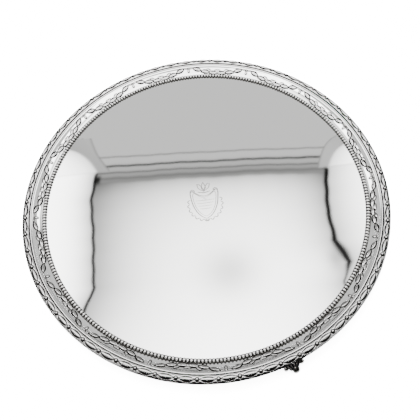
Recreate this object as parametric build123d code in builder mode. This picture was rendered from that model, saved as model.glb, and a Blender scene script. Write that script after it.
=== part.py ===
from build123d import *
import math
import os

# A round silver salver: a raised tray with a cast border, a beaded wire round the well,
# laurel swags and drops on the sloping rim, and three splayed scroll feet.
# Millimetres. +Z is up, the soles stand on Z = 0 and the tray is centred on the Z axis.
# A drop lies at azimuth -90 degrees, which is the front of the tray.

# Tray: a flat well, a concave slope and a flat rim
sheet = 1.2
well_top = 22.6
well_radius = 179.3
rim_top = 28.6
rim_inner_radius = 189.6
rim_outer_radius = 197.4
slope_sag = 0.8

# Bead wire round the well
bead_count = 315
bead_ring_radius = 177.2
bead_radius = 1.72
bead_centre_rise = 1.55
bead_strip_width = 3.3
bead_strip_height = 0.6
bead_seat_depth = 0.2
bead_seat_gap = 0.15

# Half-round wire at the top of the slope, drawn with narrow flats
fillet_ring_radius = 190.7
fillet_half_section = ((1.0, 0.0), (1.0, 0.35), (0.8, 0.8), (0.45, 1.1), (0.15, 1.2))

# Border moulding
outer_radius = 200.0
moulding_inner_radius = 192.1
moulding_shoulder_radius = 198.0
moulding_top = 30.6
moulding_widest_height = 28.6
moulding_foot_radius = 198.9
moulding_bottom = 23.6
moulding_rounding = 0.4

# Pointed bosses along the border and the round beads that link them
boss_count = 62
border_lengths = (16, 15, 16, 15)
boss_ring_radius = 195.7
boss_half_length = 9.1
boss_radius = 2.45
boss_axis_drop = 0.85
link_radius = 1.6
link_centre_rise = 0.3
first_link_azimuth = -16.88

# Laurel swags: each hangs in a parabola between two drops. Offsets are degrees from a drop.
swag_count = 16
swag_pitch = 360 / swag_count
front_azimuth = -90.0
swag_low_radius = 181.9
swag_curve = 0.070
leaf_offsets = (3.3, 6.45, 9.6)
leaf_half_length = 6.2
leaf_radius = 2.6
leaf_sink = 0.7
tie_radius = 1.3

# Drops: an oval pearl under a rosette with two ribbon loops
drop_centre_radius = 185.5
drop_half_length = 3.2
drop_radius = 1.9
rosette_ring_radius = 188.0
rosette_radius = 1.45
loop_half_length = 2.3
loop_radius = 1.1
loop_shift = 2.7
loop_lean = 20.0

# Feet: a leafy leg, two scrolled ears, a round toe with an eye, and a heel to stand on
foot_count = 3
first_foot_azimuth = -70.8
leg_stations = (
    # radius, height, width, thickness, degrees the leg points below the horizontal
    (174.0, 19.8, 20.0, 10.0, 90.0),
    (181.5, 14.6, 21.0, 6.5, 30.0),
    (190.0, 14.0, 21.0, 5.0, 2.0),
    (196.6, 13.0, 20.0, 4.6, 32.0),
    (199.8, 8.8, 10.0, 4.2, 58.0),
    (201.8, 4.6, 6.4, 4.4, 62.0),
)
ear_centre = (198.4, 8.6, 12.4)
ear_radius = 2.9
ear_length = 4.6
ear_tilt = 50.0
toe_centre = (202.9, 0.0, 3.9)
toe_radius = 3.4
toe_length = 4.4
toe_tilt = 45.0
eye_radius = 1.2
eye_depth = 1.6
scroll_rounding = 0.8
heel_centre = (201.2, 0.0, 2.7)
heel_radius = 3.2

# Pads between the feet and the tray
pad_centre_radius = 174.0
pad_length = 12.0
pad_width = 24.0
pad_thickness = 0.8

well_bottom = well_top - sheet
rim_bottom = rim_top - sheet
bead_seat_top = well_top - bead_seat_depth
bead_seat_inner_radius = bead_ring_radius - bead_strip_width / 2 - bead_seat_gap
bead_seat_outer_radius = bead_ring_radius + bead_strip_width / 2
slope_middle_radius = (well_radius + rim_inner_radius) / 2


def slope_height(radius):
    """Height of the tray's top surface on the concave slope, which is an arc in section."""
    run = rim_inner_radius - well_radius
    rise = rim_top - well_top
    chord = math.hypot(run, rise)
    arc_radius = (chord**2 / 4 + slope_sag**2) / (2 * slope_sag)
    reach = arc_radius - slope_sag
    centre_radius = slope_middle_radius - reach * rise / chord
    centre_height = (well_top + rim_top) / 2 + reach * run / chord
    return centre_height - math.sqrt(arc_radius**2 - (radius - centre_radius) ** 2)


def slope_location(radius, azimuth, sink):
    """A place on the slope: X points up it, Y along the rim, Z out of the metal."""
    step = 0.1
    rise = (slope_height(radius + step) - slope_height(radius - step)) / (2 * step)
    surface = Plane((radius, 0, slope_height(radius)), x_dir=(1, 0, rise), z_dir=(-rise, 0, 1))
    return Location((0, 0, 0), (0, 0, azimuth)) * surface.offset(-sink).location


def swag_radius(offset):
    """Radius of the swag's chain at an offset in degrees from its drop."""
    return swag_low_radius + swag_curve * (swag_pitch / 2 - offset) ** 2


def swag_lean(offset):
    """Angle in degrees between the chain and the rim's direction."""
    fall = 2 * swag_curve * (swag_pitch / 2 - offset)
    return math.degrees(math.atan2(fall, math.radians(1) * swag_radius(offset)))


def spindle(half_length, radius):
    """A pointed oval body along X: an arc turned about its own chord."""
    with BuildPart() as body:
        with BuildSketch(Plane.XY):
            with BuildLine():
                ThreePointArc((-half_length, 0), (0, radius), (half_length, 0))
                Line((half_length, 0), (-half_length, 0))
            make_face()
        revolve(axis=Axis.X)
    return body.part


def scroll(radius, length):
    """A round scroll end along Z with a sunk eye in its top."""
    with BuildPart() as body:
        Cylinder(radius, length)
        with Locations((0, 0, length / 2 - eye_depth / 2)):
            Cylinder(eye_radius, eye_depth, mode=Mode.SUBTRACT)
        fillet(body.edges().filter_by(GeomType.CIRCLE).group_by(SortBy.RADIUS)[-1], scroll_rounding)
    return body.part


def write_piece(part, name):
    part.label = name
    export_step(part, f"parts/{name}.step")


def write_ring(part, name, count, first_azimuth):
    """Write count copies of a part, evenly spaced round the axis, each as its own piece."""
    for number in range(count):
        with BuildPart() as piece:
            add(part, rotation=(0, 0, first_azimuth + number * 360 / count))
        write_piece(piece.part, f"{name}_{number + 1:02d}")


os.makedirs("parts", exist_ok=True)

# The tray is one raised sheet, with a shallow seat for the bead wire
with BuildPart() as tray:
    with BuildSketch(Plane.XZ):
        with BuildLine():
            Polyline(
                (0, well_top),
                (bead_seat_inner_radius, well_top),
                (bead_seat_inner_radius, bead_seat_top),
                (bead_seat_outer_radius, bead_seat_top),
                (bead_seat_outer_radius, well_top),
                (well_radius, well_top),
            )
            ThreePointArc(
                (well_radius, well_top),
                (slope_middle_radius, slope_height(slope_middle_radius)),
                (rim_inner_radius, rim_top),
            )
            Polyline(
                (rim_inner_radius, rim_top),
                (rim_outer_radius, rim_top),
                (rim_outer_radius, rim_bottom),
                (rim_inner_radius, rim_bottom),
            )
            ThreePointArc(
                (rim_inner_radius, rim_bottom),
                (slope_middle_radius, slope_height(slope_middle_radius) - sheet),
                (well_radius, well_bottom),
            )
            Polyline((well_radius, well_bottom), (0, well_bottom), (0, well_top))
        make_face()
    revolve(axis=Axis.Z)
write_piece(tray.part, "tray")

# The bead wire is one wire: round beads standing out of a flat strip
with BuildPart() as bead_wire:
    with BuildSketch(Plane.XZ):
        with Locations((bead_ring_radius, bead_seat_top)):
            Rectangle(
                bead_strip_width,
                bead_strip_height + bead_seat_depth,
                align=(Align.CENTER, Align.MIN),
            )
    revolve(axis=Axis.Z)
    with Locations((0, 0, well_top + bead_centre_rise)):
        with PolarLocations(bead_ring_radius, bead_count, start_angle=front_azimuth):
            Sphere(bead_radius)
    split(bisect_by=Plane.XY.offset(bead_seat_top), keep=Keep.TOP)
write_piece(bead_wire.part, "bead_wire")

# Everything below the slope's surface, used only to fit the swags and drops to it
with BuildPart() as below_slope:
    with BuildSketch(Plane.XZ):
        with BuildLine():
            ThreePointArc(
                (well_radius, well_top),
                (slope_middle_radius, slope_height(slope_middle_radius)),
                (rim_inner_radius, rim_top),
            )
            Polyline(
                (rim_inner_radius, rim_top),
                (outer_radius, rim_top),
                (outer_radius, 0),
                (bead_ring_radius, 0),
                (bead_ring_radius, well_top),
                (well_radius, well_top),
            )
        make_face()
    revolve(axis=Axis.Z)

# The half-round wire lies on the rim, just outside the slope
with BuildPart() as fillet_wire:
    with BuildSketch(Plane.XZ):
        with BuildLine():
            outer_half = [(fillet_ring_radius + x, rim_top + z) for x, z in fillet_half_section]
            inner_half = [(fillet_ring_radius - x, rim_top + z) for x, z in fillet_half_section]
            Polyline(*outer_half, *reversed(inner_half), close=True)
        make_face()
    revolve(axis=Axis.Z)
write_piece(fillet_wire.part, "fillet_wire")

# The moulding sits on the rim and hooks down over its edge, with a rounded outer face
with BuildPart() as border_moulding:
    with BuildSketch(Plane.XZ) as moulding_section:
        with BuildLine():
            Polyline(
                (moulding_shoulder_radius, moulding_top),
                (moulding_inner_radius, moulding_top),
                (moulding_inner_radius, rim_top),
                (rim_outer_radius, rim_top),
                (rim_outer_radius, moulding_bottom),
                (moulding_foot_radius, moulding_bottom),
            )
            JernArc(
                (outer_radius, moulding_widest_height),
                (0, 1),
                outer_radius - moulding_shoulder_radius,
                90,
            )
            ThreePointArc(
                (moulding_foot_radius, moulding_bottom),
                (outer_radius - moulding_rounding / 2, (moulding_bottom + moulding_widest_height) / 2),
                (outer_radius, moulding_widest_height),
            )
        make_face()
        top_inner_corner = moulding_section.vertices().group_by(Axis.Y)[-1].sort_by(Axis.X)[0]
        fillet(top_inner_corner, moulding_rounding)
    revolve(axis=Axis.Z)
write_piece(border_moulding.part, "border_moulding")

# The bosses are half sunk spindles that stand on the moulding's flat top, in four lengths
boss = spindle(boss_half_length, boss_radius)
boss_pitch = 360 / boss_count
for number, count in enumerate(border_lengths):
    start = first_link_azimuth + (sum(border_lengths[:number]) + 0.5) * boss_pitch
    with BuildPart() as border_bosses:
        with Locations((0, 0, moulding_top - boss_axis_drop)):
            with PolarLocations(boss_ring_radius, count, start, count * boss_pitch):
                add(boss, rotation=(0, 0, 90))
        split(bisect_by=Plane.XY.offset(moulding_top), keep=Keep.TOP)
    write_piece(border_bosses.part, f"border_bosses_{number + 1:02d}")

with BuildPart() as border_links:
    with Locations((0, 0, moulding_top + link_centre_rise)):
        with PolarLocations(boss_ring_radius, boss_count, first_link_azimuth):
            Sphere(link_radius)
    split(bisect_by=Plane.XY.offset(moulding_top), keep=Keep.TOP)
write_piece(border_links.part, "border_links")

# One swag: a chain of leaves rises from the tie in its middle to the drop on either side.
# Its underside fits the tray's slope.
leaf = spindle(leaf_half_length, leaf_radius)
with BuildPart() as swag:
    with Locations(slope_location(swag_radius(swag_pitch / 2), 0, leaf_sink)):
        Sphere(tie_radius)
    for side in (-1, 1):
        for offset in leaf_offsets:
            azimuth = side * (swag_pitch / 2 - offset)
            angle = 90 - side * swag_lean(offset)
            with Locations(slope_location(swag_radius(offset), azimuth, leaf_sink)):
                add(leaf, rotation=(0, 0, angle))
    add(below_slope.part, mode=Mode.SUBTRACT)
write_ring(swag.part, "swag", swag_count, front_azimuth + swag_pitch / 2)

# One drop: an oval pearl below a rosette, with a ribbon loop on either side
pearl = spindle(drop_half_length, drop_radius)
loop = spindle(loop_half_length, loop_radius)
with BuildPart() as drop:
    with Locations(slope_location(drop_centre_radius, 0, leaf_sink)):
        add(pearl)
    with Locations(slope_location(rosette_ring_radius, 0, leaf_sink)):
        Sphere(rosette_radius)
        for side in (-1, 1):
            with Locations((0, side * loop_shift, 0)):
                add(loop, rotation=(0, 0, 90 - side * loop_lean))
    add(below_slope.part, mode=Mode.SUBTRACT)
write_ring(drop.part, "drop", swag_count, front_azimuth)

# One foot, made at azimuth 0
with BuildPart() as foot:
    for radius, height, width, thickness, fall in leg_stations:
        heading = math.radians(fall)
        station = Plane(
            (radius, 0, height),
            x_dir=(math.sin(heading), 0, math.cos(heading)),
            z_dir=(math.cos(heading), 0, -math.sin(heading)),
        )
        with BuildSketch(station):
            Ellipse(thickness / 2, width / 2)
    loft()
    for side in (-1, 1):
        with Locations((ear_centre[0], side * ear_centre[1], ear_centre[2])):
            add(scroll(ear_radius, ear_length), rotation=(0, 90 - ear_tilt, 0))
    with Locations(toe_centre):
        add(scroll(toe_radius, toe_length), rotation=(0, 90 - toe_tilt, 0))
    with Locations(heel_centre):
        Sphere(heel_radius)
    split(bisect_by=Plane.XY, keep=Keep.TOP)
    split(bisect_by=Plane.XY.offset(well_bottom - pad_thickness), keep=Keep.BOTTOM)
write_ring(foot.part, "foot", foot_count, first_foot_azimuth)

# One oval pad, made at azimuth 0
with BuildPart() as foot_pad:
    with BuildSketch(Plane.XY.offset(well_bottom - pad_thickness)):
        with Locations((pad_centre_radius, 0)):
            Ellipse(pad_length / 2, pad_width / 2)
    extrude(amount=pad_thickness)
write_ring(foot_pad.part, "foot_pad", foot_count, first_foot_azimuth)
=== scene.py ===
import math

import bpy
import numpy as np
from mathutils import Matrix, Vector, noise


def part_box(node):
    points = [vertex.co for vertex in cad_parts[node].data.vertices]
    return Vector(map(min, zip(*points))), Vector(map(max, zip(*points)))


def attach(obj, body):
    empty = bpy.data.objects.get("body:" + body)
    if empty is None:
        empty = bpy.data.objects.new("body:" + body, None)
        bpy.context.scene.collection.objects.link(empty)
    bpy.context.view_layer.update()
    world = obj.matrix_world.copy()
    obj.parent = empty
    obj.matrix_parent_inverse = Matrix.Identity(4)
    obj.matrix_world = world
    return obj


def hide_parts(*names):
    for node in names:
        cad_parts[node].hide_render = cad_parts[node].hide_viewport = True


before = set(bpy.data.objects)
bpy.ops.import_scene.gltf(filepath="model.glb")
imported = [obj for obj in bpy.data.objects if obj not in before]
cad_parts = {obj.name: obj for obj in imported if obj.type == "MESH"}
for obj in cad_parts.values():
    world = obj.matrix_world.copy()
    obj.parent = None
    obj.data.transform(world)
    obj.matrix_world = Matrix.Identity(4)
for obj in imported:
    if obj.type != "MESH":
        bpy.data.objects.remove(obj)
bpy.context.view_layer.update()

# A round silver salver seen from above its front edge, in a light tent. Metres, +Z up.

mm = 0.001

# ---------------------------------------------------------------- sizes, from the frame
border_low, border_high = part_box("border_moulding")
tray_low, tray_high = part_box("tray")
bead_low, bead_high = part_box("bead_wire")
fillet_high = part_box("fillet_wire")[1]
pad_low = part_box("foot_pad_01")[0]

outer_radius = border_high[1]
bed_top = border_high[2]
moulding_bottom = border_low[2]
rim_top = tray_high[2]
rim_outer_radius = tray_high[1]
well_top = bead_low[2]
well_bottom = tray_low[2]
sheet = well_top - well_bottom
fillet_outer_radius = fillet_high[1]
bead_strip_outer_radius = bead_high[1]

# Where the ornaments lie on the rim, as on the CAD pieces that they stand for
well_radius = 179.3 * mm
rim_inner_radius = 189.6 * mm
slope_sag = 0.8 * mm
bead_count = 315
bead_ring_radius = 177.2 * mm
bead_radius = 1.72 * mm
bead_centre = well_top + 1.5 * mm
strip_height = 0.6 * mm
strip_width = 3.3 * mm
boss_count = 62
boss_ring_radius = 195.9 * mm
boss_pitch = math.tau / boss_count
first_link = math.radians(-16.88)
swag_count = 16
swag_pitch = math.tau / swag_count
front = math.radians(-90)
swag_low_radius = 181.9 * mm
swag_curve = 0.070 * mm
foot_count = 3
first_foot = math.radians(-70.8)
toe = Vector((202.9, 1.3, 3.9)) * mm
pearl_radius = 185.2 * mm
rosette_radius = 188.2 * mm
loop_radius = 187.9 * mm
leaf_offsets = (3.3, 6.45, 9.6)        # degrees from a swag's end to each of its leaves


# ---------------------------------------------------------------- materials
def silver(name, colour, tarnish_and_shade, roughness, wear, oxide_shift=0.0, edge=0.0):
    """Polished silver: a mirror with fine wiping marks, darkened towards a dark colour by tarnish and
    painted shade.

    The mesh's per-point attribute, from 0 to 1, holds tarnish left in hollows together with painted
    shade in recesses, in dark lines round ornaments and on their flanks. Edge is how strongly a
    rounded shape gets painted shade where it turns away from the eye.
    """
    material = bpy.data.materials.new(name)
    material.use_nodes = True
    tree = material.node_tree
    nodes, link = tree.nodes, tree.links.new
    shader = nodes["Principled BSDF"]
    shader.inputs["Metallic"].default_value = 1.0
    place = nodes.new("ShaderNodeTexCoord")

    # Per-point darkening from the mesh: tarnish in hollows plus painted shade round and on ornaments.
    oxide = nodes.new("ShaderNodeAttribute")
    oxide.attribute_name = "oxide"
    patches = nodes.new("ShaderNodeTexNoise")
    patches.inputs["Scale"].default_value = 260
    patches.inputs["Detail"].default_value = 5
    link(place.outputs["Object"], patches.inputs["Vector"])
    mottled = nodes.new("ShaderNodeMath")
    mottled.operation = "MULTIPLY_ADD"
    mottled.inputs[1].default_value = 0.5
    mottled.inputs[2].default_value = oxide_shift - 0.25
    link(patches.outputs["Fac"], mottled.inputs[0])
    depth = nodes.new("ShaderNodeMath")
    depth.operation = "ADD"
    link(oxide.outputs["Fac"], depth.inputs[0])
    link(mottled.outputs[0], depth.inputs[1])
    # Painted shade: rounded shapes darken where they turn away from the eye.
    if edge:
        turning = nodes.new("ShaderNodeLayerWeight")
        turning.inputs["Blend"].default_value = 0.5
        limb = nodes.new("ShaderNodeMath")
        limb.operation = "MULTIPLY_ADD"
        limb.inputs[1].default_value = edge
        limb.inputs[2].default_value = -0.12 * edge
        link(turning.outputs["Facing"], limb.inputs[0])
        whole = nodes.new("ShaderNodeMath")
        whole.operation = "ADD"
        link(depth.outputs[0], whole.inputs[0])
        link(limb.outputs[0], whole.inputs[1])
        depth = whole
    # The ramp paints the darkening in: bright metal to a dark colour for tarnish and painted shade.
    ramp = nodes.new("ShaderNodeValToRGB")
    ramp.color_ramp.elements[0].position = 0.2
    ramp.color_ramp.elements[0].color = (*colour, 1)
    ramp.color_ramp.elements[1].position = 0.6
    ramp.color_ramp.elements[1].color = (*tarnish_and_shade, 1)
    link(depth.outputs[0], ramp.inputs["Fac"])
    link(ramp.outputs["Color"], shader.inputs["Base Color"])

    smears = nodes.new("ShaderNodeTexNoise")
    smears.inputs["Scale"].default_value = 22
    smears.inputs["Detail"].default_value = 6
    smears.inputs["Distortion"].default_value = 0.8
    link(place.outputs["Object"], smears.inputs["Vector"])
    rough = nodes.new("ShaderNodeMapRange")
    rough.inputs["From Min"].default_value = 0.3
    rough.inputs["From Max"].default_value = 0.75
    rough.inputs["To Min"].default_value = roughness
    rough.inputs["To Max"].default_value = roughness + wear
    link(smears.outputs["Fac"], rough.inputs["Value"])
    dull = nodes.new("ShaderNodeMath")
    dull.operation = "MULTIPLY_ADD"
    dull.inputs[1].default_value = 0.22
    link(depth.outputs[0], dull.inputs[0])
    link(rough.outputs["Result"], dull.inputs[2])
    link(dull.outputs[0], shader.inputs["Roughness"])

    grain = nodes.new("ShaderNodeTexNoise")
    grain.inputs["Scale"].default_value = 900
    grain.inputs["Detail"].default_value = 3
    link(place.outputs["Object"], grain.inputs["Vector"])
    bump = nodes.new("ShaderNodeBump")
    bump.inputs["Strength"].default_value = 0.12
    bump.inputs["Distance"].default_value = wear * 0.4 * mm
    link(grain.outputs["Fac"], bump.inputs["Height"])
    link(bump.outputs["Normal"], shader.inputs["Normal"])
    return material


bright_silver = (0.925, 0.93, 0.925)
cast_silver = (0.56, 0.555, 0.55)
brown_tarnish = (0.030, 0.028, 0.026)
# Near-black for tarnish together with painted shade in lines, flanks and hollows.
black_tarnish_and_shade = (0.008, 0.0076, 0.0072)

mirror_finish = silver("polished_sheet", bright_silver, brown_tarnish, 0.015, 0.03, -0.2)
cast_finish = silver("cast_ornament", cast_silver, black_tarnish_and_shade, 0.05, 0.05, edge=0.5)
# The beads' and border's dark colours stand for tarnish plus painted shade in their gaps and grooves.
bead_finish = silver("cast_beads", (0.60, 0.595, 0.585), (0.02, 0.019, 0.018), 0.05, 0.05, edge=0.6)
border_finish = silver("border", (0.66, 0.655, 0.65), (0.018, 0.017, 0.016), 0.05, 0.05, edge=0.5)
foot_finish = silver("foot_casting", (0.45, 0.43, 0.41), black_tarnish_and_shade, 0.2, 0.15, 0.12)
pad_finish = silver("solder_pad", (0.7, 0.69, 0.67), brown_tarnish, 0.18, 0.12, 0.1)
engraved_finish = silver("engraving", (0.26, 0.255, 0.25), brown_tarnish, 0.25, 0.1, -0.1)


# ---------------------------------------------------------------- mesh helpers
wire_segments = 720


def make_piece(name, points, faces, material, oxide):
    """A smooth mesh object with a darkening value at each point: tarnish plus painted shade."""
    mesh = bpy.data.meshes.new(name)
    mesh.from_pydata([tuple(p) for p in points], [], faces)
    mesh.update()
    mesh.shade_smooth()
    layer = mesh.attributes.new("oxide", "FLOAT", "POINT")
    layer.data.foreach_set("value", np.asarray(oxide, float))
    mesh.materials.append(material)
    piece = bpy.data.objects.new(name, mesh)
    bpy.context.scene.collection.objects.link(piece)
    return piece


def ring_of(profile, segments, first=0.0):
    """Points and faces of a closed profile of (radius, height) turned about Z."""
    turn = first + np.arange(segments) * math.tau / segments
    radius = np.array([p[0] for p in profile])
    height = np.array([p[1] for p in profile])
    points = np.empty((segments, len(profile), 3))
    points[..., 0] = np.cos(turn)[:, None] * radius
    points[..., 1] = np.sin(turn)[:, None] * radius
    points[..., 2] = height
    return points, ring_faces(segments, len(profile))


def ring_faces(segments, rows):
    faces = []
    for i in range(segments):
        here, there = i * rows, (i + 1) % segments * rows
        for j in range(rows):
            k = (j + 1) % rows
            faces.append((here + j, there + j, there + k, here + k))
    return faces


def loft(rings):
    """A closed body through rings of equally many points, with a fan at either end."""
    count = len(rings[0])
    points = [p for ring in rings for p in ring]
    faces = []
    for i in range(len(rings) - 1):
        for j in range(count):
            k = (j + 1) % count
            faces.append((i * count + j, i * count + k, (i + 1) * count + k, (i + 1) * count + j))
    start, end = len(points), len(points) + 1
    points.append(np.mean(rings[0], axis=0))
    points.append(np.mean(rings[-1], axis=0))
    last = (len(rings) - 1) * count
    for j in range(count):
        k = (j + 1) % count
        faces.append((start, k, j))
        faces.append((end, last + j, last + k))
    return np.array(points, float), faces


class Shape:
    """Points, faces and darkening values, tarnish plus painted shade, gathered from many small bodies."""

    def __init__(self):
        self.points, self.faces, self.oxide, self.count = [], [], [], 0

    def add(self, body, shift=(0, 0, 0)):
        points, faces, oxide = body
        self.points.append(points + np.array(shift))
        self.faces.extend(tuple(v + self.count for v in f) for f in faces)
        self.oxide.append(oxide)
        self.count += len(points)

    def piece(self, name, material):
        points, oxide = np.concatenate(self.points), np.concatenate(self.oxide)
        return make_piece(name, points, self.faces, material, oxide)


def slope_arc():
    """Centre and radius of the concave arc that the slope follows between well and rim."""
    run, rise = rim_inner_radius - well_radius, rim_top - well_top
    chord = math.hypot(run, rise)
    arc_radius = (chord**2 / 4 + slope_sag**2) / (2 * slope_sag)
    reach = arc_radius - slope_sag
    centre_radius = (well_radius + rim_inner_radius) / 2 - reach * rise / chord
    centre_height = (well_top + rim_top) / 2 + reach * run / chord
    return centre_radius, centre_height, arc_radius


def slope_height(radius):
    centre_radius, centre_height, arc_radius = slope_arc()
    return centre_height - math.sqrt(arc_radius**2 - (radius - centre_radius) ** 2)


def turned(radius, azimuth, height):
    return np.stack([radius * np.cos(azimuth), radius * np.sin(azimuth), height], axis=1)


def spun(points, spin):
    c, s = math.cos(spin), math.sin(spin)
    return points[:, 0] * c - points[:, 1] * s, points[:, 0] * s + points[:, 1] * c, points[:, 2]


def on_slope(body, radius, azimuth, spin=0.0):
    """Bends a body onto the slope: its X lies up it, Y along the rim, Z out of the metal."""
    points, faces, oxide = body
    x, y, z = spun(points, spin)
    centre_radius, centre_height, arc_radius = slope_arc()
    angle = math.asin((radius - centre_radius) / arc_radius) + x / arc_radius
    out = centre_radius + (arc_radius - z) * np.sin(angle)
    up = centre_height - (arc_radius - z) * np.cos(angle)
    return turned(out, azimuth + y / radius, up), faces, oxide


def on_border(body, radius, azimuth, spin=0.0):
    """Bends a body onto the border's rounded top: X outwards, Y along it, Z up."""
    points, faces, oxide = body
    x, y, z = spun(points, spin)
    out = radius + x
    return turned(out, azimuth + y / radius, border_height(out) + z), faces, oxide


def on_well(body, radius, azimuth, height):
    points, faces, oxide = body
    x, y, z = points.T
    return turned(radius + x, azimuth + y / radius, height + z), faces, oxide


def border_height(radius):
    """Height of the border's rounded top between its inner edge and its outer face."""
    away = radius - crown_radius
    return crown_height - np.where(away > 0, outer_fall, inner_fall) * away**2


# ---------------------------------------------------------------- ornament shapes
sunk = -0.3 * mm             # how deep an ornament's base lies in the metal under it
# The dark line round an ornament is painted contact shadow with tarnish.
line_height = 0.02 * mm      # how high the dark line round it stands


def pointed_boss(half_length, half_width, height, along=23, across=11, line=0.5 * mm,
                 ridge=0.0, veins=0.0, tips=1.0, core=0.85):
    """A pointed oval cushion along X, with a dark line round its edge of tarnish and painted contact
    shadow.

    Along and across count its rows of points, line is the width of the dark line, ridge and
    veins shape its midrib and side veins, and tips says how slender its ends are. Core is
    the share of its half width that is left bright; outside it the flanks get painted shade.
    """
    rings, oxide = [], []
    for i in range(-1, along + 1):
        s = -math.cos(math.pi * min(max(i, 0), along - 1) / (along - 1)) * 0.985
        width = half_width * (1 - s**2) ** tips
        crown = height * (1 - s**2) ** 0.45
        at = s * half_length
        if i in (-1, along):
            at += math.copysign(line, s)
            crown = 0.0
        ring = [(at, -width - line, sunk), (at, -width - line, line_height)]
        # The line round the edge is painted fully dark: painted contact shadow plus tarnish.
        tarnish_and_shade = [1.0, 1.0]
        for j in range(across):
            t = -math.cos(math.pi * j / (across - 1))
            rib = ridge * math.exp(-((t / 0.18) ** 2))
            vein = veins * math.sin(9 * s + 5 * abs(t)) * (1 - t * t)
            level = crown * max(0.0, 1 - t * t) ** 0.55 * (1 + rib + vein)
            ring.append((at, t * width, 0.03 * mm + level))
            # Flanks outside the bright core get painted shade; the midrib groove gets tarnish with
            # painted shade.
            groove = 0.55 * math.exp(-((t / 0.1) ** 2)) if ridge < 0 else 0.0
            flank = 1 / (1 + math.exp((core - abs(t)) / 0.08))
            tarnish_and_shade.append(1.0 if crown == 0 else max(flank, groove * (1 - s * s)))
        ring += [(at, width + line, line_height), (at, width + line, sunk)]
        tarnish_and_shade += [1.0, 1.0]
        rings.append(ring)
        oxide += tarnish_and_shade
    points, faces = loft(np.array(rings))
    return points, faces, np.array(oxide + [1.0, 1.0])


def ball(radius, low, rows=9, columns=16, stretch=(1, 1, 1), line=0.0, depth=5.0):
    """A round body about Z, cut off at the height low, with a dark line round it of painted contact
    shadow and tarnish, and painted shade towards its base.
    """
    rings, oxide = [], []
    bottom = math.acos(max(-1.0, low / radius))
    levels = []
    for i in range(rows):
        angle = bottom * (i + 0.35) / (rows - 0.65)
        # Painted shade: darker towards the base.
        levels.append((radius * math.sin(angle), radius * math.cos(angle), (angle / bottom) ** depth))
    if line:
        foot = levels[-1][0]
        # The line round the foot is painted dark: contact shadow with tarnish.
        levels += [(foot + line, low + line_height, 1.0), (foot + line, low + sunk, 1.0)]
    for across, height, tarnish_and_shade in levels:
        ring = []
        for j in range(columns):
            turn = math.tau * j / columns
            x, y = across * math.cos(turn), across * math.sin(turn)
            ring.append((x * stretch[0], y * stretch[1], height * stretch[2]))
        rings.append(ring)
        oxide += [tarnish_and_shade] * columns
    points, faces = loft(np.array(rings))
    return points, faces, np.array(oxide + [0.0, 1.0])


def tube(path, radii, columns=10):
    """A round bar along a list of points, with a radius at each point."""
    rings = []
    path = [Vector(p) for p in path]
    side = None
    for i, here in enumerate(path):
        ahead = (path[min(i + 1, len(path) - 1)] - path[max(i - 1, 0)]).normalized()
        if side is None:
            side = ahead.orthogonal().normalized()
        side = (side - ahead * side.dot(ahead)).normalized()
        other = ahead.cross(side)
        ring = []
        for j in range(columns):
            turn = math.tau * j / columns
            ring.append(tuple(here + radii[i] * (side * math.cos(turn) + other * math.sin(turn))))
        rings.append(ring)
    points, faces = loft(np.array(rings))
    return points, faces, np.zeros(len(points))


# ---------------------------------------------------------------- the tray
def hammer_waves(x, y):
    """The faint unevenness of a hand-raised well, in metres."""
    radius = math.hypot(x, y)
    calm = min(1.0, max(0.0, (well_radius - radius) / (14 * mm)))
    long_wave = noise.noise(Vector((x * 9, y * 9, 1.7)))
    short_wave = noise.noise(Vector((x * 26, y * 26, 8.1)))
    return calm * (26e-6 * long_wave + 7e-6 * short_wave)


def make_tray():
    rows_in_well = 46
    hub = 0.4 * mm
    well_width = well_radius - hub
    profile = [(hub + well_width * i / rows_in_well, well_top) for i in range(rows_in_well)]
    slope_rows = 12
    for i in range(slope_rows + 1):
        radius = well_radius + (rim_inner_radius - well_radius) * i / slope_rows
        profile.append((radius, slope_height(radius)))
    rim_start, rim_end = rim_inner_radius + 0.5 * mm, rim_outer_radius - 0.3 * mm
    bevel = 0.15 * mm
    profile += [(rim_start, rim_top), (rim_end, rim_top)]
    profile += [(rim_outer_radius, rim_top - bevel), (rim_outer_radius, rim_top - sheet + bevel)]
    profile += [(rim_end, rim_top - sheet), (rim_start, rim_top - sheet)]
    for i in range(slope_rows, -1, -1):
        radius = well_radius + (rim_inner_radius - well_radius) * i / slope_rows
        profile.append((radius, slope_height(radius) - sheet))
    for i in range(rows_in_well, 0, -3):
        profile.append((hub + well_width * i / (rows_in_well + 1), well_bottom))
    profile.append((hub, well_bottom))
    segments = 360
    points, faces = ring_of(profile, segments)
    flat = points.reshape(-1, 3)
    rows = len(profile)
    faces = [f for f in faces if (f[0] % rows, f[3] % rows) != (rows - 1, 0)]
    for index, (x, y, z) in enumerate(flat):
        if index % rows < rows_in_well:
            flat[index, 2] = z + hammer_waves(x, y)
    top_hub, low_hub = len(flat), len(flat) + 1
    flat = np.vstack([flat, (0, 0, well_top + hammer_waves(0, 0)), (0, 0, well_bottom)])
    for i in range(segments):
        here, there = i * rows, (i + 1) % segments * rows
        faces.append((top_hub, here, there))
        faces.append((low_hub, there + rows - 1, here + rows - 1))
    oxide = np.zeros(len(flat))
    tray = make_piece("raised_tray", flat, faces, mirror_finish, oxide)
    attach(tray, "root")
    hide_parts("tray")


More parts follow.
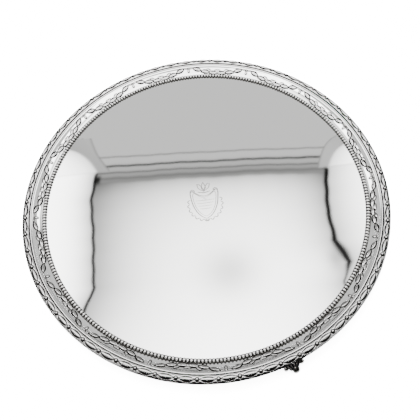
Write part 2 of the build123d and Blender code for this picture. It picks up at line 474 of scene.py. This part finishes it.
def make_bead_wire():
    """The strip with its beads, and the dark seam where it is soldered to the tray: solder tarnish plus
    painted shadow beside the beads.
    """
    inner, outer = bead_ring_radius - strip_width / 2, bead_ring_radius + strip_width / 2
    top = well_top + strip_height
    skin, lip = 0.06 * mm, 0.05 * mm
    seam = well_top + skin
    profile = [(inner - 0.45 * mm, well_top), (inner - 0.4 * mm, seam), (inner, seam), (inner, top)]
    profile += [(outer, top), (outer, seam), (well_radius, seam)]
    edge = well_radius + 0.9 * mm
    profile += [(edge, slope_height(edge) + skin), (edge + lip, slope_height(edge))]
    profile.append((well_radius, well_top))
    points, faces = ring_of(profile[::-1], wire_segments)
    shape = Shape()
    flat = points.reshape(-1, 3)
    # The whole strip and its skin are painted dark: painted shadow beside the beads, plus solder tarnish.
    shape.add((flat, faces, np.full(len(flat), 1.0)))
    stretch = (1.25, 0.92, 1.0)
    points, faces, oxide = ball(bead_radius, -1.0 * mm, stretch=stretch, depth=3.0)
    # Painted shade in the gaps between beads and on their outer side.
    beside = soft(np.abs(points[:, 1]) / bead_radius - 0.76, 0.07)
    behind = soft(points[:, 0] / (stretch[0] * bead_radius) - 0.88, 0.07)
    bead = points, faces, np.maximum(oxide, 0.9 * np.maximum(beside, behind))
    for i in range(bead_count):
        shape.add(on_well(bead, bead_ring_radius, front + i * math.tau / bead_count, bead_centre))
    wire = shape.piece("beaded_wire", bead_finish)
    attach(wire, "root")
    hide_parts("bead_wire")


def make_fillet_wire():
    half_width, skirt = 1.0 * mm, 0.2 * mm
    inner, outer = fillet_outer_radius - 2 * half_width, fillet_outer_radius
    middle = (inner + outer) / 2
    height = fillet_high[2] - rim_top
    profile = [(inner, rim_top)]
    # Painted shade at the wire's feet and low flanks, with tarnish where it meets the rim.
    oxide = [0.8]
    steps = 14
    for i in range(steps + 1):
        angle = math.pi * i / steps
        across = middle - math.cos(angle) * half_width
        profile.append((across, rim_top + skirt + math.sin(angle) * (height - skirt)))
        oxide.append(0.75 * abs(math.cos(angle)) ** 8)
    profile.append((outer, rim_top))
    oxide.append(1.0)
    points, faces = ring_of(profile[::-1], wire_segments)
    oxide = oxide[::-1] * wire_segments
    wire = make_piece("half_round_wire", points.reshape(-1, 3), faces, border_finish, oxide)
    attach(wire, "root")
    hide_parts("fillet_wire")


# ---------------------------------------------------------------- the border
boss_half_length = 7.5 * mm
boss_half_width = 2.1 * mm
link_radius = 1.6 * mm
crown_radius = 194.8 * mm
crown_height = bed_top + 0.4 * mm
inner_fall, outer_fall = 130.0, 125.0        # how fast the top falls to either side, per metre


def groove_depth(along, out):
    """How deep a point of the border lies in the groove round a boss or link, 0 to 1.

    along is the distance from the nearest link round the rim, out is the distance from
    the bosses' ring, outwards.
    """
    from_link = math.hypot(along, out) - link_radius
    half_pitch = boss_ring_radius * boss_pitch / 2
    s = (half_pitch - abs(along)) / boss_half_length
    from_boss = abs(out) - boss_half_width * (1 - s**2) if s < 1 else from_link
    nearest = min(from_link, from_boss)
    full_depth, floor_width, fade = 0.9, 0.4 * mm, 0.45 * mm
    past_floor = max(nearest - floor_width, 0.0)
    return full_depth * math.exp(-((past_floor / fade) ** 2))


def make_moulding():
    inner = fillet_outer_radius + 0.4 * mm
    gap, shelf = inner - 0.39 * mm, rim_top + 0.08 * mm
    waist, hem = 26.4 * mm, 24.8 * mm
    rows = [(gap, rim_top), (gap, shelf), (inner, shelf)]
    rows += [(inner, bed_top - 0.65 * mm), (inner + 0.15 * mm, bed_top - 0.3 * mm)]
    top_inner, top_outer = inner + 0.5 * mm, outer_radius - 0.75 * mm
    top_rows = 26
    for i in range(top_rows + 1):
        radius = top_inner + (top_outer - top_inner) * i / top_rows
        rows.append((radius, float(border_height(radius))))
    edge = rows[-1][1]
    rows += [(outer_radius - 0.35 * mm, edge - 0.3 * mm), (outer_radius - 0.08 * mm, edge - 0.75 * mm)]
    rows += [(outer_radius, edge - 1.3 * mm), (outer_radius - 0.1 * mm, waist)]
    rows += [(outer_radius - 0.4 * mm, hem), (outer_radius - 1.1 * mm, moulding_bottom)]
    rows += [(rim_outer_radius, moulding_bottom), (rim_outer_radius, rim_top)]
    rows = rows[::-1]
    per_boss = 44
    pitch = boss_ring_radius * boss_pitch
    points, faces = ring_of(rows, per_boss * boss_count, first_link)
    oxide = np.zeros(points.shape[:2])
    for j, (radius, height) in enumerate(rows):
        if top_inner <= radius <= top_outer and height > rim_top:
            for i in range(per_boss):
                along = pitch * i / per_boss
                along = min(along, pitch - along)
                deep = groove_depth(along, radius - boss_ring_radius)
                points[i::per_boss, j, 2] -= 0.4 * mm * deep
                # Groove darkening: tarnish in the groove plus painted shade.
                oxide[i::per_boss, j] = deep
        # The inner wall and the lower outer face are painted fully dark: painted shade in place of the
        # floor's bright reflection, with tarnish.
        elif radius <= inner + 0.45 * mm or height < bed_top - 2.6 * mm:
            oxide[:, j] = 1.0
    moulding = make_piece("border_ring", points.reshape(-1, 3), faces, border_finish, oxide.ravel())
    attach(moulding, "root")
    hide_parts("border_moulding")


def make_bosses():
    bosses, links = Shape(), Shape()
    # The line arguments set the dark outlines: painted contact shadow with tarnish.
    boss = pointed_boss(boss_half_length, boss_half_width, 1.4 * mm, line=0.15 * mm)
    link_ball = ball(link_radius, 0.1 * mm, line=0.2 * mm, depth=3.0)
    for i in range(boss_count):
        azimuth = first_link + i * boss_pitch
        bosses.add(on_border(boss, boss_ring_radius, azimuth + boss_pitch / 2, math.pi / 2))
        links.add(on_border(link_ball, boss_ring_radius, azimuth))
    boss_nodes = [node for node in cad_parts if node.startswith("border_bosses")]
    for shape, name, nodes in (
        (bosses, "pointed_bosses", boss_nodes),
        (links, "link_beads", ["border_links"]),
    ):
        piece = shape.piece(name, cast_finish)
        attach(piece, "root")
        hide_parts(*nodes)


# ---------------------------------------------------------------- swags and drops
def swag_radius(offset):
    """Radius of a swag's chain, offset radians away from its drop."""
    return swag_low_radius + swag_curve * math.degrees(swag_pitch / 2 - offset) ** 2


def swag_lean(offset):
    fall = 2 * swag_curve * math.degrees(swag_pitch / 2 - offset)
    return math.atan2(fall, math.radians(1) * swag_radius(offset))


# The line arguments widen the dark outlines round leaves and berries: painted contact shadow with
# tarnish.
leaf = pointed_boss(4.9 * mm, 2.05 * mm, 1.35 * mm, line=1.0 * mm,
                    ridge=-0.3, veins=0.1, tips=0.75, core=0.72)
side_leaf = pointed_boss(3.2 * mm, 1.5 * mm, 1.0 * mm, 15, 9, line=0.6 * mm,
                         ridge=-0.3, tips=0.75, core=0.72)
berry = ball(0.8 * mm, -0.2 * mm, 6, 12, line=0.3 * mm)


def make_swag(number):
    middle = front + swag_pitch * (number - 0.5)
    shape = Shape()
    shape.add(on_slope(ball(1.3 * mm, sunk, line=0.4 * mm), swag_low_radius + 0.3 * mm, middle))
    for side in (-1, 1):
        for offset in leaf_offsets:
            away = math.radians(offset)
            azimuth = middle + side * (swag_pitch / 2 - away)
            spin = math.pi / 2 - side * swag_lean(away)
            shape.add(on_slope(leaf, swag_radius(away), azimuth, spin))
            joint = math.radians(offset + 1.55)
            azimuth = middle + side * (swag_pitch / 2 - joint)
            if offset > leaf_offsets[0]:
                shape.add(on_slope(side_leaf, swag_radius(joint) + 2.2 * mm, azimuth, spin - side * 0.35))
            if offset < leaf_offsets[-1]:
                shape.add(on_slope(berry, swag_radius(joint) - 2.0 * mm, azimuth))
    swag = shape.piece(f"laurel_swag_{number:02d}", cast_finish)
    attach(swag, "root")
    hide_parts(f"swag_{number:02d}")


def make_drop(number):
    azimuth = front + swag_pitch * (number - 1)
    shape = Shape()
    # The line arguments set the dark outlines round pearl, rosette and loops: painted contact shadow with
    # tarnish.
    pearl = ball(1.75 * mm, sunk, 9, 18, stretch=(1.45, 1.0, 0.75), line=0.9 * mm, depth=1.1)
    shape.add(on_slope(pearl, pearl_radius, azimuth))
    rosette = ball(1.2 * mm, sunk, 8, 14, line=0.7 * mm, depth=2.0)
    shape.add(on_slope(rosette, rosette_radius, azimuth))
    loop = pointed_boss(2.4 * mm, 1.0 * mm, 0.75 * mm, 11, 9, line=0.3 * mm, ridge=-0.5, tips=0.6)
    for side in (-1, 1):
        spin = math.pi / 2 - side * math.radians(20)
        shape.add(on_slope(loop, loop_radius, azimuth + side * 3.1 / 188, spin))
    drop = shape.piece(f"pearl_drop_{number:02d}", cast_finish)
    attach(drop, "root")
    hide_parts(f"drop_{number:02d}")


# ---------------------------------------------------------------- the feet
def spiral(centre, normal, outer, inner, turns, start, steps=26):
    """Points of a flat spiral about centre, in the plane across normal."""
    normal = Vector(normal).normalized()
    side = Vector((0, 0, -1)) - normal * normal.dot(Vector((0, 0, -1)))
    side.normalize()
    other = normal.cross(side)
    path = []
    for i in range(steps + 1):
        share = i / steps
        radius = outer + (inner - outer) * share
        angle = start + turns * math.tau * share
        path.append(Vector(centre) + radius * (side * math.cos(angle) + other * math.sin(angle)))
    return path


def foot_shape():
    """One foot at azimuth 0: a leafy leg, scrolled ears, a ringed toe and a heel."""
    shape = Shape()
    # Radius, height, half width, half thickness in mm, and how far the leg has turned down
    stations = (
        (174.0, 19.6, 10.0, 5.0, 90),
        (181.5, 14.6, 10.4, 2.6, 30),
        (190.0, 13.9, 10.2, 2.0, 2),
        (196.6, 13.0, 9.6, 1.8, 32),
        (199.8, 8.8, 6.6, 1.7, 58),
        (201.6, 4.8, 4.4, 1.7, 62),
    )
    rings = []
    for radius, height, half_width, half_thick, fall in stations:
        heading = math.radians(fall)
        up = Vector((math.sin(heading), 0, math.cos(heading)))
        ring = []
        for j in range(24):
            turn = math.tau * j / 24
            at = Vector((radius, half_width * math.sin(turn), height))
            at += up * half_thick * math.cos(turn)
            ring.append(tuple(at * mm))
        rings.append(ring)
    points, faces = loft(np.array(rings))
    shape.add((points, faces, np.zeros(len(points))))
    for k in (-2, -1, 0, 1, 2):
        path = [(176, 2.6 * k, 18.5), (183, 3.6 * k, 16.4), (190, 4.1 * k, 15.6)]
        path += [(195.4, 4.0 * k, 15.2), (198.6, 3.0 * k, 12.6 - 0.5 * abs(k)), (200.8, 1.8 * k, 9.4)]
        radii = [r * mm for r in (0.9, 1.3, 1.4, 1.5, 1.2, 0.8)]
        shape.add(tube([Vector(p) * mm for p in path], radii))
    for side in (-1, 1):
        centre = Vector((198.8, side * 8.7, 11.2)) * mm
        path = spiral(centre, (0.64, 0, 0.77), 2.9 * mm, 0.5 * mm, side * 1.35, 2.4 * side)
        shape.add(tube(path, [1.0 * mm] * len(path)))
        shape.add(ball(1.0 * mm, -0.9 * mm), centre)
        curl = [(188, side * 8.6, 14.2), (193, side * 9.6, 13.6)]
        curl += [(197, side * 10.0, 13.4), (199.4, side * 9.4, 12.6)]
        shape.add(tube([Vector(p) * mm for p in curl], [r * mm for r in (0.8, 1.0, 1.1, 0.8)]))
    ring = spiral(toe, (1, 0, 1), 2.5 * mm, 2.5 * mm, 1.0, 0)
    shape.add(tube(ring, [1.2 * mm] * len(ring)))
    shape.add(ball(3.0 * mm, -2.9 * mm), Vector((201.0, 1.3, 2.8)) * mm)
    shape.add(ball(1.3 * mm, -1.2 * mm), Vector((201.2, 0, 9.4)) * mm)
    return shape


def make_foot(number, body):
    azimuth = first_foot + (number - 1) * math.tau / foot_count
    piece = bpy.data.objects.new(f"scroll_foot_{number:02d}", body.copy())
    piece.data.transform(Matrix.Rotation(azimuth, 4, "Z"))
    bpy.context.scene.collection.objects.link(piece)
    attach(piece, "root")
    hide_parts(f"foot_{number:02d}")


def foot_mesh():
    """The foot's bodies made into one closed skin, with its hollows darkened by tarnish plus painted
    shade.
    """
    rough = foot_shape().piece("foot_master", foot_finish)
    remesh = rough.modifiers.new("one_skin", "REMESH")
    remesh.mode = "VOXEL"
    remesh.voxel_size = 0.32 * mm
    smooth = rough.modifiers.new("soften", "SMOOTH")
    smooth.factor = 0.5
    smooth.iterations = 3
    depsgraph = bpy.context.evaluated_depsgraph_get()
    mesh = bpy.data.meshes.new_from_object(rough.evaluated_get(depsgraph))
    bpy.data.objects.remove(rough)
    top = pad_low[2]
    for vertex in mesh.vertices:
        vertex.co.z = min(max(vertex.co.z, 0.0), top)
    mesh.shade_smooth()
    mesh.materials.clear()
    mesh.materials.append(foot_finish)
    mark_hollows(mesh)
    return mesh


def mark_hollows(mesh):
    """Sets the darkening attribute, tarnish plus painted shade, from how far each point lies below its
    neighbours.
    """
    count = len(mesh.vertices)
    points = np.empty(count * 3)
    mesh.vertices.foreach_get("co", points)
    points = points.reshape(-1, 3)
    normals = np.empty(count * 3)
    mesh.vertices.foreach_get("normal", normals)
    normals = normals.reshape(-1, 3)
    edges = np.empty(len(mesh.edges) * 2, dtype=np.int64)
    mesh.edges.foreach_get("vertices", edges)
    edges = edges.reshape(-1, 2)
    degree = np.bincount(edges.ravel(), minlength=count)[:, None]
    mean = points.copy()
    for _ in range(6):
        total = np.zeros_like(mean)
        np.add.at(total, edges[:, 0], mean[edges[:, 1]])
        np.add.at(total, edges[:, 1], mean[edges[:, 0]])
        mean = total / np.maximum(degree, 1)
    depth = ((mean - points) * normals).sum(axis=1)
    # Painted shade and tarnish: deeper hollows are darker.
    oxide = np.clip(0.35 + depth / (0.25 * mm), 0, 1)
    if "oxide" in mesh.attributes:
        mesh.attributes.remove(mesh.attributes["oxide"])
    layer = mesh.attributes.new("oxide", "FLOAT", "POINT")
    layer.data.foreach_set("value", oxide)


# ---------------------------------------------------------------- the engraved cartouche
def smooth_path(points, steps=8):
    """A curve through the points, as closely spaced points."""
    points = [Vector(p) for p in points]
    ends = [points[0] * 2 - points[1], *points, points[-1] * 2 - points[-2]]
    path = []
    for a, b, c, d in zip(ends, ends[1:], ends[2:], ends[3:]):
        for i in range(steps):
            t = i / steps
            bend = 2 * a - 5 * b + 4 * c - d
            twist = 3 * b - a - 3 * c + d
            path.append(0.5 * (2 * b + (c - a) * t + bend * t**2 + twist * t**3))
    return path + [points[-1]]


def stroke(shape, path, width):
    """One graver's cut: a thin dark band on the surface of the well, narrow at its ends."""
    rings = []
    for i, here in enumerate(path):
        ahead = (path[min(i + 1, len(path) - 1)] - path[max(i - 1, 0)]).normalized()
        half = 0.62 * width * (0.4 + 0.6 * math.sin(math.pi * (i + 0.5) / len(path)) ** 0.5)
        side = Vector((-ahead.y, ahead.x)) * half
        ring = []
        for share, lift in ((-1, -0.02), (-1, 0.012), (0, 0.022), (1, 0.012), (1, -0.02)):
            at = (here + side * share) * mm
            ring.append((at.x, at.y, well_top + hammer_waves(at.x, at.y) + lift * mm))
        rings.append(ring)
    points, faces = loft(np.array(rings))
    shape.add((points, faces, np.zeros(len(points))))


def both_sides(shape, points, width=0.8):
    for side in (-1, 1):
        stroke(shape, smooth_path([(side * x, y) for x, y in points]), width)


def make_engraving():
    """A blank shield with scrolled corners, a leafy border round it and a plume above it."""
    shape = Shape()
    shield = [(0, 3.6), (5, 5.0), (9.5, 8.2), (13, 11), (15.4, 8.5)]
    shield += [(14.7, 0), (13, -8), (9.5, -16), (5, -21.5), (0, -24.6)]
    both_sides(shape, shield, 0.9)
    both_sides(shape, [(x * 0.84, -6.6 + (y + 6.6) * 0.84) for x, y in shield], 0.5)
    both_sides(shape, [(15.4, 8.5), (15, 11.5), (12.5, 12.8), (10.6, 11.2), (11.6, 9.6), (12.9, 10.2)])
    for lobe in range(7):
        start = math.radians(22 - 17 * lobe)
        arc = []
        for i in range(7):
            angle = start - math.radians(15) * i / 6
            reach = 17.2 + 2.4 * math.sin(math.pi * i / 6)
            arc.append((reach * math.cos(angle), -6.8 + 1.06 * reach * math.sin(angle)))
        both_sides(shape, arc, 0.8)
    for y in (-1.5, -5, -8.5, -12):
        half = 10.6 + 0.42 * (y + 1.5)
        stroke(shape, smooth_path([(-half, y), (0, y - 0.3), (half, y)]), 0.4)
    stroke(shape, smooth_path([(-7, 9.4), (0, 8.0), (7, 9.4)]), 0.9)
    for lean in (-1, 0, 1):
        tip = (7 * lean, 21.5 - 2 * abs(lean))
        left = [(0, 9.5), (3.4 * lean - 2.2, 14), (5.6 * lean - 1.2, 19), tip]
        right = [(0, 9.5), (3.4 * lean + 2.2, 14), (5.6 * lean + 1.4, 18.5), tip]
        stroke(shape, smooth_path(left), 0.7)
        stroke(shape, smooth_path(right), 0.7)
    engraving = shape.piece("engraved_cartouche", engraved_finish)
    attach(engraving, "root")


# ---------------------------------------------------------------- camera and light tent
edge_height = 31.0 * mm
camera_azimuth = math.radians(-91.17)
camera_elevation = math.radians(59.99)
camera_distance = 2.9758 * outer_radius
camera_roll = 0.10153
camera_yaw = 0.00757
camera_pitch = -0.02852
focal_in_frames = 1.2968        # focal length over the frame's width


def make_camera():
    """The camera looks down on the tray's axis, turned a little off it and rolled."""
    turn = Matrix.Rotation(camera_azimuth - math.radians(-90), 3, "Z")
    e = camera_elevation
    forward = Vector((0, math.cos(e), -math.sin(e)))
    right = Vector((1, 0, 0))
    up = Vector((0, math.sin(e), math.cos(e)))
    yawed = forward * math.cos(camera_yaw) + right * math.sin(camera_yaw)
    right = right * math.cos(camera_yaw) - forward * math.sin(camera_yaw)
    forward = yawed * math.cos(camera_pitch) + up * math.sin(camera_pitch)
    up = up * math.cos(camera_pitch) - yawed * math.sin(camera_pitch)
    x_axis = right * math.cos(camera_roll) - up * math.sin(camera_roll)
    y_axis = right * math.sin(camera_roll) + up * math.cos(camera_roll)
    place = Vector((0, -camera_distance * math.cos(e), camera_distance * math.sin(e)))
    axes = Matrix((turn @ x_axis, turn @ y_axis, turn @ -forward)).transposed().to_4x4()
    data = bpy.data.cameras.new("camera")
    data.sensor_width = 36
    data.lens = focal_in_frames * data.sensor_width
    camera = bpy.data.objects.new("camera", data)
    camera.matrix_world = Matrix.Translation(turn @ place + Vector((0, 0, edge_height))) @ axes
    bpy.context.scene.collection.objects.link(camera)
    bpy.context.scene.camera = camera


def plain_face(name, points, level, faces=((0, 1, 2, 3),)):
    """A sheet that glows evenly, as lit cloth or a wall."""
    mesh = bpy.data.meshes.new(name)
    mesh.from_pydata(points, [], faces)
    material = bpy.data.materials.new(name)
    material.use_nodes = True
    nodes = material.node_tree.nodes
    nodes.clear()
    glow = nodes.new("ShaderNodeEmission")
    glow.inputs["Color"].default_value = (1.0, 0.995, 0.985, 1)
    glow.inputs["Strength"].default_value = level
    output = nodes.new("ShaderNodeOutputMaterial")
    material.node_tree.links.new(glow.outputs[0], output.inputs["Surface"])
    mesh.materials.append(material)
    face = bpy.data.objects.new(name, mesh)
    bpy.context.scene.collection.objects.link(face)
    return face


def soft(value, width):
    """0 well below zero, 1 well above it, with a smooth step of about that width."""
    return 0.5 * (1 + np.tanh(value / width))


def rise(distance, reach, power):
    """0 at no distance, growing to 1 beyond the reach."""
    return 1 - np.exp(-((np.maximum(distance, 0) / reach) ** power))


def sway(along, phase):
    """The small waviness of hanging cloth, in metres."""
    return 0.0022 * np.sin(19 * along + phase) + 0.0014 * np.sin(67 * along + 2.1 * phase)


def left_seam(y):
    """Nearly straight, leaning out at the near end and a little in at the far end."""
    near_lean = 0.48 * np.maximum(0.50 - y, 0)
    far_lean = 0.16 * np.maximum(y - 0.90, 0)
    return -0.455 - near_lean - 0.015 * (y - 0.50) + far_lean


def right_seam(y):
    """Straight, drawn out to a point where the cloth is gathered, leaning out at the far end."""
    gathered = 0.555 - 0.4 * np.maximum(y - 0.48, 0) - 0.5 * np.maximum(0.48 - y, 0)
    return np.maximum(gathered, 0.515 + 0.18 * np.maximum(y - 0.70, 0))


def left_fold(y):
    """How far to the left the fold's edge lies: it leans out, then turns sharply at its top."""
    up = y - 1.037
    turn = 7 * np.maximum(y - 1.22, 0)
    return np.minimum(0.38 + 0.65 * up - 1.2 * up**2 + turn, 0.60)


def corner_edge(y, start, low, climb, reach):
    """How far to the side a corner's edge lies at y: it climbs from low, then runs level."""
    share = np.clip((y - low) / climb, 0, 0.999)
    return start - reach * np.log(1 - share)


# Place, width and depth of the dark lines behind the hem
hem_lines = (
    (0.022, 0.007, 0.35),
    (0.050, 0.005, 0.6),
    (0.084, 0.0065, 0.93),
    (0.133, 0.0045, 0.6),
)


def tent_level(x, y):
    """Brightness of the tent's roof: a main panel, its hem and seams, side panels and the back."""
    left = left_seam(y) + sway(y, 0.4)
    right = right_seam(y) + sway(y, 1.9)
    above = y - (0.948 - 0.080 * x - 0.033 * x**2 + sway(x, 3.0) * 0.6)

    shade = (0.16 + 0.84 * rise(-above, 0.24, 0.9)) * (0.17 + 0.83 * rise(x - left, 0.26, 1.3))
    shade *= 0.24 + 0.76 * rise(right - x, 0.13, 1.2)
    spot = np.exp(-(((x - 0.08) / 0.12) ** 2) - ((y - 0.50) / 0.11) ** 2)
    panel = 7.0 * shade * (1 - 0.5 * spot)

    t = np.clip(above / 0.115, 0, 1)
    back = 0.34 + 0.56 * t * t * (3 - 2 * t)
    for place, width, depth in hem_lines:
        back = back * (1 - depth * np.exp(-(((above - place) / width) ** 2)))
    level = panel + (back - panel) * soft(above, 0.006)

    on_left_side = soft(left - x, 0.004) * soft(1.04 - y, 0.004)
    on_right_side = soft(x - right, 0.004) * soft(0.925 - y, 0.004)
    level = level + (side_level(left - x, 0.085) - level) * on_left_side
    level = level + (side_level(x - right, 0.16) - level) * on_right_side
    right_fold = corner_edge(y, 0.517, 0.925, 0.185, 0.06)
    left_brow = corner_edge(y, 0.435, 1.03, 0.17, 0.07)
    right_brow = corner_edge(y, 0.565, 0.92, 0.14, 0.06)
    for side, start, fold, brow in (
        (-1, 1.037, left_fold(y), left_brow),
        (1, 0.925, right_fold, right_brow),
    ):
        edge = side * fold + 0.3 * sway(y, 2.0)
        panel_edge = side * brow
        on_fold = soft(side * (x - edge), 0.003) * soft(y - start, 0.003)
        cloth = 0.74 + 0.10 * np.sin(9 * (x + y))
        cloth = cloth * (1 - 0.5 * np.exp(-(((x - edge) / 0.007) ** 2)))
        level = level + (cloth - level) * on_fold
        on_panel = soft(side * (x - panel_edge), 0.006) * soft(y - start, 0.003)
        level = level + (side_level(side * (x - panel_edge) + 0.03, 0.14) - level) * on_panel

    on_left = soft(1.03 - y, 0.006)
    on_right = soft(0.92 - y, 0.006)
    level = level * (1 - 0.96 * on_left * np.exp(-np.abs((x - left) / 0.0085) ** 3))
    patch = np.exp(-np.abs((x - left - 0.012) / 0.014) ** 3 - np.abs((y - 0.995) / 0.022) ** 3)
    level = level * (1 - 0.9 * patch)
    half = 0.0125 + 0.012 * np.exp(-(((y - 0.535) / 0.05) ** 2))
    band = np.abs((x - right) / half)
    level = level * (1 - 0.95 * on_right * np.exp(-(band**3)) * soft(y - 0.45, 0.02))
    level = level * (1 - 0.8 * on_right * np.exp(-(((x - right) / 0.006) ** 2)))
    crease = np.exp(-(((x - 0.50) / 0.035) ** 2) - ((y - 0.50) / 0.05) ** 2)
    return level * (1 - 0.45 * crease * on_right)


def side_level(inside, reach):
    """Brightness of a side panel, by the distance in from its edge."""
    return 1.5 + 6.0 * rise(inside, reach, 1.4)


def make_roof(height):
    """The part of the roof that the flat of the tray mirrors, shaded point by point."""
    low_x, high_x, low_y, high_y, step = -0.75, 0.80, 0.05, 1.65, 0.005
    xs = np.arange(low_x, high_x + step / 2, step)
    ys = np.arange(low_y, high_y + step / 2, step)
    grid_x, grid_y = np.meshgrid(xs, ys, indexing="ij")
    rows = len(ys)
    points = np.stack([grid_x.ravel(), grid_y.ravel(), np.full(grid_x.size, height)], axis=1)
    faces = []
    for i in range(len(xs) - 1):
        for j in range(rows - 1):
            here = i * rows + j
            faces.append((here, here + rows, here + rows + 1, here + 1))
    roof = plain_face("tent_roof", points.tolist(), 1.0, faces)
    layer = roof.data.attributes.new("level", "FLOAT", "POINT")
    layer.data.foreach_set("value", tent_level(grid_x, grid_y).ravel())
    tree = roof.data.materials[0].node_tree
    level = tree.nodes.new("ShaderNodeAttribute")
    level.attribute_name = "level"
    tree.links.new(level.outputs["Fac"], tree.nodes["Emission"].inputs["Strength"])
    only_in_reflections(roof)


def only_in_reflections(card):
    card.visible_camera = False
    card.visible_shadow = False
    card.visible_diffuse = False


def flat_card(x0, x1, y0, y1, height):
    return [(x0, y0, height), (x1, y0, height), (x1, y1, height), (x0, y1, height)]


def upright_card(x0, y0, x1, y1, bottom, top):
    return [(x0, y0, bottom), (x1, y1, bottom), (x1, y1, top), (x0, y0, top)]


def make_tent():
    """The roof, the plain sheets behind it, the walls, and a card that lights the far beads."""
    top = 1.5
    far, near, side, front_edge = 4.0, -0.9, 1.3, -2.2
    make_roof(top)
    behind = top + 0.02
    for name, box, level in (
        ("tent_top", (-0.455, 0.53, near, 0.1), 5.5),
        ("tent_left", (-side, -0.455, near, 1.25), 7.5),
        ("tent_right", (0.53, side, near, 1.15), 7.0),
        ("beyond_left", (-far, -side, near, far), 0.9),
        ("beyond_right", (side, far, near, far), 0.9),
        ("tent_back", (-side, side, 1.15, far), 0.86),
        ("tent_front", (-far, far, front_edge, near), 0.75),
    ):
        behind += 0.001
        only_in_reflections(plain_face(name, flat_card(*box, behind), level))
    bounce = upright_card(-0.26, -0.196, 0.26, -0.196, 0.085, 0.31)
    only_in_reflections(plain_face("bounce_card", bounce, 1.3))
    low, wall, dark = 0.35, 1.52, 3.0
    for name, points, level in (
        ("wall_left", upright_card(-far, -far, -far, far, low, wall), 0.8),
        ("wall_right", upright_card(far, -far, far, far, low, wall), 0.8),
        ("wall_back", upright_card(-far, far, far, far, low, wall), 0.6),
        ("wall_front", upright_card(-dark, -far, dark, -far, low, wall), 0.02),
        ("wall_front_left", upright_card(-far, -far, -dark, -far, low, wall), 0.5),
        ("wall_front_right", upright_card(dark, -far, far, -far, low, wall), 0.5),
        ("low_left", upright_card(-far, -far, -far, far, 0, low), 0.08),
        ("low_right", upright_card(far, -far, far, far, 0, low), 0.08),
        ("low_back", upright_card(-far, far, far, far, 0, low), 0.08),
        ("low_front", upright_card(-far, -far, far, -far, 0, low), 0.02),
        ("room_front", flat_card(-dark, dark, -far, front_edge, top), 0.03),
        ("room_left", flat_card(-far, -dark, -far, front_edge, top), 0.5),
        ("room_right", flat_card(dark, far, -far, front_edge, top), 0.5),
        # Painted shade: a dark card under the floor, seen only in reflections, in place of the pale
        # floor's reflection.
        ("table_card", flat_card(-far, far, -far, far, -0.01), 0.05),
    ):
        only_in_reflections(plain_face(name, points, level))


def make_floor():
    """A pale table top, lit evenly from above."""
    mesh = bpy.data.meshes.new("floor")
    side = 9.0
    mesh.from_pydata(flat_card(-side, side, -side, side, 0), [], [(0, 1, 2, 3)])
    material = bpy.data.materials.new("floor")
    material.use_nodes = True
    shader = material.node_tree.nodes["Principled BSDF"]
    shader.inputs["Base Color"].default_value = (0.9, 0.9, 0.9, 1)
    shader.inputs["Roughness"].default_value = 0.9
    mesh.materials.append(material)
    floor = bpy.data.objects.new("floor", mesh)
    bpy.context.scene.collection.objects.link(floor)
    # The floor is hidden from reflections, so the dark card under it shows there instead.
    floor.visible_glossy = False
    for name, tilt, strength in (("key", (18, -12, 0), 18.0), ("fill", (-25, 20, 40), 16.0)):
        sun = bpy.data.lights.new(name, "SUN")
        sun.energy = strength
        sun.angle = math.radians(70)
        lamp = bpy.data.objects.new(name, sun)
        lamp.rotation_euler = [math.radians(a) for a in tilt]
        lamp.visible_glossy = False
        bpy.context.scene.collection.objects.link(lamp)
    world = bpy.data.worlds.new("studio")
    world.use_nodes = True
    world.node_tree.nodes["Background"].inputs["Color"].default_value = (1, 1, 1, 1)
    world.node_tree.nodes["Background"].inputs["Strength"].default_value = 20.0
    bpy.context.scene.world = world


make_camera()
make_tent()
make_floor()
make_tray()
make_bead_wire()
make_fillet_wire()
make_moulding()
make_bosses()
for number in range(1, swag_count + 1):
    make_swag(number)
    make_drop(number)
one_foot = foot_mesh()
for number in range(1, foot_count + 1):
    make_foot(number, one_foot)
    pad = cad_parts[f"foot_pad_{number:02d}"]
    pad.data.materials.clear()
    pad.data.materials.append(pad_finish)
make_engraving()
